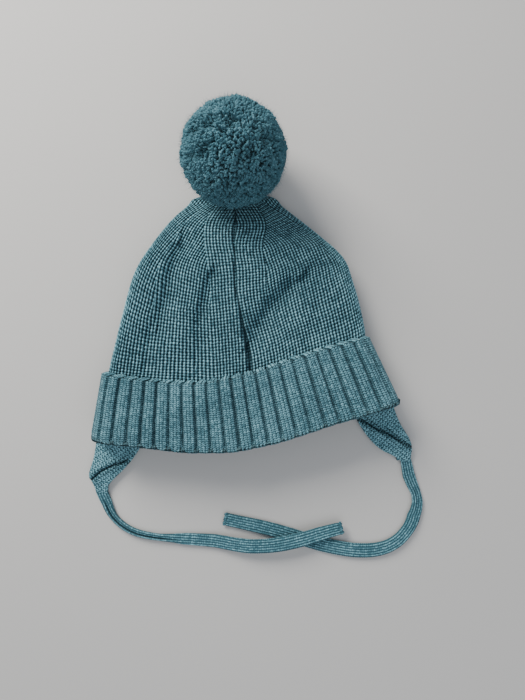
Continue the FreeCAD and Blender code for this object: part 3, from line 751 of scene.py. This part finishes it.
def crown_piece(name, side, first, last, columns, rows):
    """One part of the crown's outer face, between two shares of its width."""

    def spot(column, row):
        share = first + (last - first) * column / (columns - 1)
        y_row = CROWN_LOW + (CROWN_HIGH - CROWN_LOW) * row / (rows - 1)
        return y_row, crown_surface(share, y_row, side)

    def place(column, row):
        y_row, ((x, y, z), flat_x, left_end, right_end, out, round_share) = spot(column, row)
        wale, course = crown_fields(flat_x, y_row, left_end, right_end, panel_at(flat_x, y_row))
        crest = np.cos(wale * math.tau) * 0.5 + 0.5
        bead = np.cos(course * math.tau) * 0.5 + 0.5
        loose = 1.0 + 0.35 * smoothly(-2.0, 24.0, -y_row)
        hole = 0.60 * (1 - crest) ** 1.2 * (1 - bead)
        lift = 0.40 * loose * (crest**0.8 - 0.6) - hole + 0.22 * crest * (bead - 0.5)
        lift = lift * (1 - 0.4 * smoothly(34.0, 54.0, y_row))
        for line in (OUTER_LEFT, INNER_LEFT, INNER_RIGHT, OUTER_RIGHT):
            off_line = flat_x - through(line, y_row)
            lift = lift - 0.45 * np.exp(-((off_line / 1.2) ** 2)) * smoothly(-6.0, 6.0, y_row)
        if side > 0:
            groove, off, low = seam_groove(flat_x, y_row)
            lift = lift * (1 - 0.8 * groove) - groove * (1.4 + 0.8 * low)
            lift = lift + 0.50 * np.exp(-(((off + 2.2) / 0.8) ** 2))
            lift = lift + 0.30 * np.exp(-(((off - 2.3) / 0.8) ** 2))
            lift = lift + crown_folds(x, y) * smoothly(0.0, 0.16, 1 - np.abs(out))
            lift = lift + TUCK_RISE * smoothly(46.0, 56.0, -y_row)
        lift = lift * smoothly(0.0, 3.0, CROWN_HIGH - y_row)
        past = (np.abs(out) - 1 + round_share * math.pi / 2) / round_share
        bend = np.clip(past, 0, math.pi / 2)
        return np.stack([x + np.sign(out) * np.sin(bend) * lift, y, z + side * np.cos(bend) * lift], axis=1)

    # Painted shade in the seam's groove on the uppermost back, stronger towards the cuff.
    def shade(column, row):
        y_row, (_, flat_x, _, _, _, _) = spot(column, row)
        groove, _, low = seam_groove(flat_x, y_row)
        return groove * (0.58 + 0.37 * low) * (side > 0)

    def uv(column, row, points):
        y_row, (_, flat_x, left_end, right_end, _, _) = spot(column, row)
        face_x = flat_x.reshape(-1, 4).mean(1)
        face_y = y_row.reshape(-1, 4).mean(1)
        panel = np.repeat(panel_at(face_x, face_y), 4)
        return np.stack(crown_fields(flat_x, y_row, left_end, right_end, panel), axis=1)

    return grid_piece(name, columns, rows, place, uv, shade)


crown_left = crown_piece("crown_back_left_knit", 1, 0.0, 0.5, *BACK_GRID)
crown_right = crown_piece("crown_back_right_knit", 1, 0.5, 1.0, *BACK_GRID)
crown_front = crown_piece("crown_front_knit", -1, 0.0, 1.0, *FRONT_GRID)
crown_front.data.flip_normals()


INSIDE_COLUMNS = 180
INSIDE_ROWS = 80
FABRIC = 2.4
INSIDE_SETBACK = 1.5


def inside_place(column, row):
    """A place on the crown's inner face, right round it, with the ridge of the seam."""
    turn = column / (INSIDE_COLUMNS - 1) * 2.0
    side = np.where(turn <= 1.0, 1.0, -1.0)
    share = np.where(turn <= 1.0, turn, 2.0 - turn)
    y_row = np.interp(row / (INSIDE_ROWS - 1), [0, 1], [CROWN_LOW, CROWN_HIGH - INSIDE_SETBACK])
    left_x, left_y, right_x, right_y, under, top = station(y_row)
    half_width = (right_x - left_x) / 2 - FABRIC
    half_height = np.maximum((top - under) / 2 - FABRIC, 0.4)
    across, up, _ = stadium(share, half_width, half_height)
    lean = (right_y - left_y) / (right_x - left_x)
    middle_x = (left_x + right_x) / 2
    seam_off = middle_x + across - through(SEAM_PATH, y_row)
    ridge = np.where(side > 0, 1.2 * np.exp(-((seam_off / 1.4) ** 2)), 0.0)
    fold = np.where(side > 0, crown_folds(middle_x + across, y_row + lean * across), 0.0)
    fold = fold * smoothly(0.0, 6.0, half_width - np.abs(across)) * smoothly(0.0, 2.0, half_height - 0.4)
    z = np.maximum((top + under) / 2 + side * up - ridge + fold, under + 0.5)
    return np.stack([middle_x + across, y_row + lean * across, z], axis=1)


def inside_uv(column, row, points):
    return np.stack([points[:, 0] / WALE_PITCH, points[:, 1] / COURSE_PITCH], axis=1)


crown_inside = grid_piece("crown_inside_knit", INSIDE_COLUMNS, INSIDE_ROWS, inside_place, inside_uv)
crown_inside.data.flip_normals()
for piece in (crown_left, crown_right, crown_front, crown_inside):
    piece.data.materials.append(crown_wool)
    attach(piece, "hat")
    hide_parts("crown", "crown_back_seam")

# Turned-up cuff.
# One band of wide flat ribs, doubled up over the crown. Its fold is the mouth's edge, and its free edge lies
# on the crown.
CUFF_LOWER = ((-75.6, -91.0), (-77.8, -75.0), (-79.3, -58.6), (-82.0, -30.9), (-81.6, -9.4), (-78.0, 11.0),
              (-67.5, 44.2), (-60.6, 68.0), (-56.0, 85.0))
CUFF_UPPER = ((-39.2, -80.6), (-43.0, -50.4), (-43.8, -25.9), (-39.4, -2.1), (-30.2, 26.2), (-23.1, 49.5),
              (-17.6, 70.4))
CUFF_DEPTH = 41.0
CUFF_COURSE = 1.22
CUFF_LOWER_ENDS = (-87.4, 83.8)
CUFF_UPPER_ENDS = (-81.4, 66.2)
CUFF_RINGS = 900
CUFF_MIDDLE = 12.2
CUFF_HALF_HEIGHT = 12.1
RIBS = 24.0
FIRST_RIB = 0.35
RIB_KINDS = 120
FOLD_RADIUS = 2.7
EDGE_THICKNESS = 3.1


def cuff_profile():
    """The sheet's profile from under its free edge, over its outer face, round the fold and into the mouth:
    the share of the way to the fold, the distance back from it, the depth below the outer face, and the way
    the face looks."""
    rows = []
    for k in range(7):
        turn = math.pi / 2 * (1 - k / 6)
        rows.append((0.0, 1.2 - 1.2 * math.sin(turn), EDGE_THICKNESS * math.sin(turn) ** 2, -turn))
    for k in range(1, 66):
        rows.append((k / 66, 0.0, 0.0, 0.0))
    for k in range(13):
        turn = math.pi * k / 12
        back = FOLD_RADIUS - FOLD_RADIUS * math.sin(turn)
        rows.append((1.0, back, FOLD_RADIUS * (1 - math.cos(turn)), turn))
    for k in range(1, 15):
        rows.append((1.0, FOLD_RADIUS + 24.0 * k / 14, 2 * FOLD_RADIUS, math.pi))
    return [np.array(column) for column in zip(*rows)]


cuff_share, cuff_back, cuff_depth, cuff_turn = cuff_profile()
CUFF_ROWS = len(cuff_share)
rib_random = np.random.default_rng(21)
rib_gap = rib_random.uniform(0.7, 1.25, RIB_KINDS)
rib_gap[[29, 30, 31, 36]] = 1.7
rib_wide = rib_random.uniform(-0.07, 0.07, RIB_KINDS)


def cuff_column(column):
    """The share across the top of a column, its side, and its place along the band in ribs."""
    turn = column / (CUFF_RINGS - 1) * 2.0
    side = np.where(turn <= 1.0, 1.0, -1.0)
    share = np.where(turn <= 1.0, turn, 2.0 - turn)
    return share, side, turn


def cuff_rib(turn):
    """The rib count round the band, and how far a place lies from its rib's middle, from 0 to 1."""
    count = turn * RIBS + FIRST_RIB
    number = np.floor(count).astype(int)
    inside = count - number
    middle = 0.5 + rib_wide[number % RIB_KINDS]
    off = np.where(inside < middle, (middle - inside) / middle, (inside - middle) / (1 - middle))
    return count, number, off


def rib_groove(turn):
    count, number, off = cuff_rib(turn)
    return np.exp(-(((1 - off) * 3.9 / (0.52 * rib_gap[number % RIB_KINDS])) ** 2)), count, off


def cuff_place(column, row):
    share, side, turn = cuff_column(column)
    t = 1.0 - cuff_share[row]
    taper = np.where(cuff_share[row] >= 1.0, np.maximum(cuff_back[row] - FOLD_RADIUS, 0.0) / CUFF_DEPTH, t)
    left = CUFF_LOWER_ENDS[0] + (CUFF_UPPER_ENDS[0] - CUFF_LOWER_ENDS[0]) * taper
    right = CUFF_LOWER_ENDS[1] + (CUFF_UPPER_ENDS[1] - CUFF_LOWER_ENDS[1]) * taper
    half_width = (right - left) / 2 - cuff_depth[row]
    half_height = CUFF_HALF_HEIGHT - 1.7 * t - cuff_depth[row]
    across, up, _ = stadium(share, half_width, half_height)
    middle_x = (left + right) / 2
    out = (middle_x + across - left) / (right - left)
    low_y = through(CUFF_LOWER, CUFF_LOWER_ENDS[0] + out * (CUFF_LOWER_ENDS[1] - CUFF_LOWER_ENDS[0]))
    high_y = through(CUFF_UPPER, CUFF_UPPER_ENDS[0] + out * (CUFF_UPPER_ENDS[1] - CUFF_UPPER_ENDS[0]))
    groove, count, off = rib_groove(turn)
    near_fold = smoothly(0.86, 1.0, cuff_share[row])
    near_edge = np.exp(-(((t - 1.0) / 0.05) ** 2))
    wale = np.cos(count * WALES_IN_RIB * math.tau) * 0.5 + 0.5
    push = (0.85 * (1 - off**2.4) - 1.25 * groove) * (1 - 0.85 * near_fold)
    push = push + 0.12 * (wale - 0.5) * (1 - groove)
    push = push + near_edge * (side > 0) * (0.3 * (1 - off**2) - 0.2)
    back = cuff_back[row] - near_edge * (0.9 * (1 - off**2) - 0.6)
    y = low_y + (high_y - low_y) * t + back * np.where(cuff_share[row] >= 1.0, 1.0, -1.0)
    y = y - np.sin(cuff_turn[row]) * push + (side < 0) * 1.4 * smoothly(0.0, 9.0, np.abs(up)) * near_fold
    x = middle_x + across
    past = np.clip((np.abs(across) - half_width + half_height) / half_height, 0, 1)
    bend = np.arcsin(past)
    outward = np.cos(cuff_turn[row]) * push
    swell = 0.8 * waves(x, y, 34.0, 11) * (side > 0) * np.cos(bend)
    z = CUFF_MIDDLE - 1.5 * t + side * (up + np.cos(bend) * outward) + swell
    return np.stack([x + np.sign(across) * past * outward, y, np.maximum(z, 0.05)], axis=1)


# Painted shade in the grooves between ribs, fading out round the fold.
def cuff_shade(column, row):
    _, _, turn = cuff_column(column)
    groove, _, _ = rib_groove(turn)
    return 0.72 * groove * (1 - smoothly(0.88, 0.99, cuff_share[row]))


def cuff_uv(column, row, points):
    _, _, turn = cuff_column(column)
    count, _, _ = cuff_rib(turn)
    past_fold = np.where(cuff_share[row] >= 1.0, cuff_back[row] + cuff_depth[row] * 1.2, 0)
    down = cuff_share[row] * CUFF_DEPTH + past_fold
    return np.stack([count, down / CUFF_COURSE], axis=1)


cuff = grid_piece("cuff_ribbed_band", CUFF_RINGS, CUFF_ROWS, cuff_place, cuff_uv, cuff_shade)
seal(cuff, 0.00002, capped=False)
cuff.data.materials.append(cuff_wool)
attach(cuff, "hat")
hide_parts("cuff")

# Ear flaps.
# Each is a tapering tongue of plain knitting, folded once along its length, so that its upper face has a
# crease and two facets. It comes out of the mouth and ends where its tie is sewn on.
FLAP_LEFT_SIDE_A = ((-86.4, -70.0), (-87.9, -78.0), (-89.7, -88.5), (-92.3, -98.2), (-89.9, -103.4),
                    (-88.4, -108.8))
FLAP_LEFT_SIDE_B = ((-59.6, -73.0), (-62.0, -80.4), (-67.0, -88.6), (-73.2, -95.8), (-80.8, -103.6),
                    (-82.0, -108.8))
FLAP_RIGHT_SIDE_A = ((58.6, -57.0), (62.4, -67.6), (69.1, -77.5), (75.8, -83.7), (83.4, -87.6), (87.6, -90.6))
FLAP_RIGHT_SIDE_B = ((81.0, -52.0), (83.4, -60.8), (86.8, -69.0), (91.6, -76.8), (93.3, -82.4), (92.8, -90.6))
FLAP_COLUMNS = 120
FLAP_ROWS = 120
FLAP_WALE = 2.15
FLAP_COURSE = 1.6
FLAP_MIDDLE = 2.35


def side_point(points, share):
    at = np.linspace(0, 1, len(points))
    x = through([(p[0], k) for p, k in zip(points, at)], share)
    y = through([(p[1], k) for p, k in zip(points, at)], share)
    return x, y


def near_path(x, y, points):
    """1 on a crease through the points, falling off to its sides, and the signed distance past it."""
    segments = [near_line(x, y, a, b, 0.75) for a, b in zip(points[:-1], points[1:])]
    closest = np.argmax([near_line(x, y, a, b, 12.0)[0] for a, b in zip(points[:-1], points[1:])], axis=0)
    return np.choose(closest, [c for c, _ in segments]), -np.choose(closest, [d for _, d in segments])


def flap_piece(name, side_a, side_b, crease, grain, drop):
    """A folded tongue between its two sides, closed all round. Past its crease it turns down by drop."""

    def spot(column, row):
        angle = column / (FLAP_COLUMNS - 1) * math.tau
        flat = np.cos(angle)
        share = row / (FLAP_ROWS - 1)
        ax, ay = side_point(side_a, share)
        bx, by = side_point(side_b, share)
        wide = np.sign(flat) * (1 - (1 - np.abs(flat)) ** 1.15)
        x = (ax + bx) / 2 + (ax - bx) / 2 * wide
        y = (ay + by) / 2 + (ay - by) / 2 * wide
        return x, y, angle, share

    def counts(x, y):
        return (x * grain[0] + y * grain[1]) / FLAP_WALE, (y * grain[0] - x * grain[1]) / FLAP_COURSE

    def braid(past, course):
        """The linked stitches that lie beside the crease, slanting away from it."""
        return 0.6 + 0.4 * np.cos((course * 0.62 + np.abs(past) * 0.35) * math.tau)

    def place(column, row):
        x, y, angle, share = spot(column, row)
        rounded = np.sign(np.sin(angle)) * np.abs(np.sin(angle)) ** 0.35
        face = np.clip(rounded, 0, 1)
        close, past = near_path(x, y, crease)
        wale, course = counts(x, y)
        stitch = np.cos(wale * math.tau) * np.cos(course * math.tau)
        chain = 0.95 * braid(past, course) * np.exp(-(((past + 1.6) / 1.1) ** 2))
        chain = chain + 0.55 * braid(past, course) * np.exp(-(((past - 1.5) / 1.0) ** 2))
        thin = 1 - 0.42 * smoothly(0.78, 1.0, share)
        top = 2.25 * rounded * thin + 0.16 * stitch * face
        relief = (chain - 1.2 * close - drop * smoothly(0.0, 8.0, past)) * face
        top = top + relief * (1 - smoothly(0.8, 0.95, share))
        swell = 0.45 * waves(x, y, 20.0, 31) * face
        return np.stack([x, y, np.maximum(FLAP_MIDDLE * thin + top + swell, 0.05)], axis=1)

    def uv(column, row, points):
        x, y, _, _ = spot(column, row)
        return np.stack(counts(x, y), axis=1)

    # Painted shade in the crease and between the linked stitches beside it, on the upper face.
    def shade(column, row):
        x, y, angle, _ = spot(column, row)
        close, past = near_path(x, y, crease)
        _, course = counts(x, y)
        beside = np.exp(-(((np.abs(past) - 1.5) / 1.2) ** 2)) * (1.0 - braid(past, course))
        return (0.75 * close + 0.55 * beside) * (np.sin(angle) > 0)

    piece = grid_piece(name, FLAP_COLUMNS, FLAP_ROWS, place, uv, shade)
    seal(piece, 0.00002)
    piece.data.materials.append(flap_wool)
    return piece


LEFT_SIDES = (FLAP_LEFT_SIDE_A, FLAP_LEFT_SIDE_B)
RIGHT_SIDES = (FLAP_RIGHT_SIDE_A, FLAP_RIGHT_SIDE_B)
LEFT_CREASE = ((-92.4, -102.4), (-84.7, -95.4), (-78.1, -92.5), (-70.0, -89.6))
RIGHT_CREASE = ((59.0, -62.6), (64.0, -66.6), (72.9, -71.6), (81.5, -75.6), (92.6, -82.2))
flap_left = flap_piece("earflap_left_knit", *LEFT_SIDES, LEFT_CREASE, (-0.55, 0.83), 1.7)
flap_right = flap_piece("earflap_right_knit", *RIGHT_SIDES, RIGHT_CREASE, (0.60, 0.80), 1.9)
for piece, node, body, start, end in (
    (flap_left, "earflap_left", "flap_left", (-0.0754, -0.0762, 0.0), (-0.0760, -0.0820, 0.0)),
    (flap_right, "earflap_right", "flap_right", (0.0720, -0.0588, 0.0), (0.0737, -0.0642, 0.0)),
):
    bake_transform(piece)
    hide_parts(node)

# Pom pom.
# A ball of cut yarn: some thousands of yarn ends stand out from the tie at its heart and bend over one
# another in clumps, with a haze of loose fibres round them.
POM_MIDDLE = np.array([-7.8, 76.8, 28.6])
POM_RADIUS = 28.4
TUFTS = 7600
TUFT_SIDES = 5
RING_UP = (0.0, 0.50, 0.84, 0.94, 0.985, 1.0)
RING_WIDE = (0.80, 1.02, 1.12, 1.02, 0.66, 0.02)
pom_random = np.random.default_rng(5)


def ball_directions(count):
    """Directions spread evenly over a ball, along a spiral."""
    k = np.arange(count) + 0.5
    height = 1 - 2 * k / count
    turn = k * math.pi * (3 - math.sqrt(5))
    flat = np.sqrt(1 - height**2)
    return np.stack([flat * np.cos(turn), flat * np.sin(turn), height], axis=1)


def ball_waves(directions, length, seed):
    """A soft irregular swell over the ball, between about -1 and 1."""
    r = np.random.default_rng(seed)
    total = np.zeros(len(directions))
    for _ in range(9):
        axis = r.normal(size=3)
        axis /= np.linalg.norm(axis)
        scale = math.tau * r.uniform(0.7, 1.4) * POM_RADIUS / length
        total += np.sin(directions @ axis * scale + r.uniform(0, math.tau))
    return total / 3.6


def many(name, base, numbers, place, material, shade=None):
    """Copies of a small base mesh, each with its vertices at the place worked out from its number."""
    count = len(numbers)
    points = np.array([v.co for v in base.vertices], float)
    faces = np.array([tuple(p.vertices) for p in base.polygons], int)
    number = np.repeat(numbers, len(points))
    local = np.tile(points, (count, 1))
    places = place(number, local) * MM
    all_faces = (faces[None] + (np.arange(count) * len(points))[:, None, None]).reshape(-1, faces.shape[1])
    mesh = bpy.data.meshes.new(name)
    mesh.vertices.add(len(places))
    mesh.vertices.foreach_set("co", places.astype(np.float32).ravel())
    mesh.loops.add(all_faces.size)
    mesh.loops.foreach_set("vertex_index", all_faces.astype(np.int32).ravel())
    mesh.polygons.add(len(all_faces))
    mesh.polygons.foreach_set("loop_start", np.arange(0, all_faces.size, faces.shape[1], dtype=np.int32))
    mesh.polygons.foreach_set("use_smooth", [True] * len(all_faces))
    mesh.update(calc_edges=True)
    mesh.validate()
    mesh.materials.append(material)
    if shade is not None:
        attribute = mesh.attributes.new("shade", "FLOAT", "POINT")
        attribute.data.foreach_set("value", shade(number, local).astype(np.float32))
    piece = bpy.data.objects.new(name, mesh)
    bpy.context.scene.collection.objects.link(piece)
    return piece


base_bm = bmesh.new()
bmesh.ops.create_grid(base_bm, x_segments=TUFT_SIDES, y_segments=len(RING_UP) - 1, size=0.5)
tuft_base = bpy.data.meshes.new("tuft_base")
base_bm.to_mesh(tuft_base)
base_bm.free()

tuft_way = ball_directions(TUFTS) + pom_random.normal(0, 0.022, (TUFTS, 3))
tuft_way /= np.linalg.norm(tuft_way, axis=1)[:, None]
tuft_rise = 0.5 * ball_waves(tuft_way, 15.0, 41) + 0.5 * ball_waves(tuft_way, 5.0, 42)
tuft_rise += pom_random.normal(0, 0.18, TUFTS)
POM_CREASES = (
    ((-0.80, 0.17, 0.57), (-0.42, 0.20, 0.88), 0.085, 3.2),
    ((-0.30, 0.30, 0.90), (-0.02, 0.24, 0.97), 0.080, 2.8),
    ((-0.80, -0.30, 0.52), (-0.46, -0.22, 0.86), 0.080, 2.8),
    ((0.52, 0.10, 0.85), (0.62, -0.10, 0.78), 0.060, 1.6),
)
for crease_start, crease_end, crease_width, crease_depth in POM_CREASES:
    a, b = np.array(crease_start), np.array(crease_end)
    share = np.clip(((tuft_way - a) @ (b - a)) / ((b - a) @ (b - a)), 0, 1)
    off = np.linalg.norm(tuft_way - a - share[:, None] * (b - a), axis=1)
    tuft_rise -= crease_depth * np.exp(-((off / crease_width) ** 2))
CROWN_SIDE = np.array([0.0, -0.66, -0.75])
PRESSED = 2.4


def pressed(directions):
    """1 where the ball is pressed against the crown's tip, and 0 away from it."""
    return smoothly(0.72, 0.94, directions @ CROWN_SIDE)


tuft_rise -= PRESSED * pressed(tuft_way)
spare = np.cross(tuft_way, [0.31, 0.52, 0.80])
spare /= np.linalg.norm(spare, axis=1)[:, None]
other = np.cross(tuft_way, spare)
lean_turn = 2.6 * ball_waves(tuft_way, 11.0, 51) + pom_random.normal(0, 0.7, TUFTS)
lean_far = np.abs(pom_random.normal(1.3, 0.7, TUFTS))
tuft_lean = (spare * np.cos(lean_turn)[:, None] + other * np.sin(lean_turn)[:, None]) * lean_far[:, None]
tuft_fat = pom_random.uniform(0.55, 0.86, TUFTS)
tuft_tone = pom_random.normal(0.0, 0.14, TUFTS)
TUFT_ROOT = 17.0
SETTLED = 0.6


def above_table(places):
    """The same places, spread flat on the table where they would sink into it."""
    settled = SETTLED * np.exp(np.minimum(places[:, 2], SETTLED) / SETTLED - 1)
    return np.stack([places[:, 0], places[:, 1], np.maximum(places[:, 2], settled)], axis=1)


def tuft_place(number, local):
    angle = (local[:, 0] + 0.5) * math.tau
    ring = np.rint((local[:, 1] + 0.5) * (len(RING_UP) - 1)).astype(int)
    up = np.array(RING_UP)[ring]
    way = tuft_way[number]
    reach = POM_RADIUS - 0.9 + tuft_rise[number]
    centre = POM_MIDDLE + way * (TUFT_ROOT + (reach - TUFT_ROOT) * up)[:, None]
    centre = centre + tuft_lean[number] * (up**2.6)[:, None]
    thick = tuft_fat[number] * np.array(RING_WIDE)[ring]
    twist = angle + up * 1.5
    ripple = 1 + 0.16 * np.cos(2 * twist + number)
    sideways = spare[number] * np.cos(twist)[:, None] + other[number] * np.sin(twist)[:, None]
    return above_table(centre + sideways * (thick * ripple)[:, None])


# Painted shade towards each tuft's root and on tufts that sit low, in creases and against the crown, plus a
# random tone per tuft.
def tuft_shade(number, local):
    ring = np.rint((local[:, 1] + 0.5) * (len(RING_UP) - 1)).astype(int)
    up = np.array(RING_UP)[ring]
    inner = np.clip((0.97 - up) / 0.25, 0, 1) * 0.7
    return inner + np.clip(-tuft_rise[number], 0, 3) * 0.25 + tuft_tone[number]


HALF = TUFTS // 2
pom_upper = many("pom_yarn_ends_upper", tuft_base, range(HALF), tuft_place, pom_wool, tuft_shade)
pom_lower = many("pom_yarn_ends_lower", tuft_base, range(HALF, TUFTS), tuft_place, pom_wool, tuft_shade)

FIBRES = 15000
fibre_bm = bmesh.new()
bmesh.ops.create_grid(fibre_bm, x_segments=1, y_segments=3, size=0.5)
fibre_base = bpy.data.meshes.new("fibre_base")
fibre_bm.to_mesh(fibre_base)
fibre_bm.free()
fibre_way = ball_directions(FIBRES) + pom_random.normal(0, 0.02, (FIBRES, 3))
fibre_way /= np.linalg.norm(fibre_way, axis=1)[:, None]
fibre_spare = np.cross(fibre_way, [0.7, 0.1, 0.7])
fibre_spare /= np.linalg.norm(fibre_spare, axis=1)[:, None]
fibre_other = np.cross(fibre_way, fibre_spare)
fibre_turn = pom_random.uniform(0, math.tau, FIBRES)
fibre_side = fibre_spare * np.cos(fibre_turn)[:, None] + fibre_other * np.sin(fibre_turn)[:, None]
fibre_bend = pom_random.normal(0, 1.0, (FIBRES, 3))
fibre_long = pom_random.uniform(0.3, 1.0, FIBRES)
fibre_rise = 0.5 * ball_waves(fibre_way, 15.0, 41) - PRESSED * pressed(fibre_way)


def fibre_place(number, local):
    up = local[:, 1] + 0.5
    way = fibre_way[number]
    low = POM_RADIUS - 2.0 + fibre_rise[number]
    reach = low + (2.6 * fibre_long[number]) * up
    centre = POM_MIDDLE + way * reach[:, None] + fibre_bend[number] * (up**2)[:, None]
    return above_table(centre + fibre_side[number] * (local[:, 0] * 0.16 * (1 - 0.8 * up))[:, None])


pom_fibres = many("pom_loose_fibres", fibre_base, range(FIBRES), fibre_place, pom_wool)

pom_core_mesh = bpy.data.meshes.new("pom_heart")
core_bm = bmesh.new()
bmesh.ops.create_icosphere(core_bm, subdivisions=4, radius=(POM_RADIUS - 5.5) * MM)
bmesh.ops.translate(core_bm, vec=Vector(POM_MIDDLE) * MM, verts=core_bm.verts)
for vertex in core_bm.verts:
    forward = vertex.co - Vector(POM_MIDDLE) * MM
    swell = 0.0006 * math.sin(forward.x * 900) * math.sin(forward.y * 800 + forward.z * 700)
    vertex.co += forward.normalized() * swell
for face in core_bm.faces:
    face.smooth = True
core_bm.to_mesh(pom_core_mesh)
core_bm.free()
pom_core_mesh.materials.append(pom_wool)
pom_core = bpy.data.objects.new("pom_heart", pom_core_mesh)
bpy.context.scene.collection.objects.link(pom_core)
for piece in (pom_upper, pom_lower, pom_fibres, pom_core):
    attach(piece, "pom")
    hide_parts("pom_pom")

# Sewing yarns, the flaps' sewn ends and the blank label.
# These small pieces keep their own shapes and take the finish of the same yarn, or of white satin.
satin_shader = Shader("label_satin")
satin_place = satin_shader.node("ShaderNodeTexCoord").outputs["Object"]
satin_weave = satin_shader.node("ShaderNodeTexWave", Vector=satin_place, Scale=900.0, Distortion=0.4)
weave_height = satin_weave.outputs["Fac"]
satin_bump = satin_shader.node("ShaderNodeBump", Strength=0.3, Distance=0.0001, Height=weave_height)
satin_shader.put(satin_shader.surface.inputs["Normal"], satin_bump.outputs["Normal"])
satin_shader.surface.inputs["Base Color"].default_value = (0.78, 0.77, 0.73, 1.0)
satin_shader.surface.inputs["Roughness"].default_value = 0.42

YARN_NODES = (
    "crown_gather_yarn", "cuff_tacks", "earflap_root_left", "earflap_root_right", "earflap_stitches_left",
    "earflap_stitches_right", "tie_tack_left", "tie_tack_right", "pom_core_tie", "pom_shank", "pom_knot",
    "label_stitches",
)
for name in YARN_NODES:
    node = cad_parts[name]
    node.data.materials.clear()
    node.data.materials.append(yarn_wool)
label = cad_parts["care_label"]
label.data.materials.clear()
label.data.materials.append(satin_shader.material)
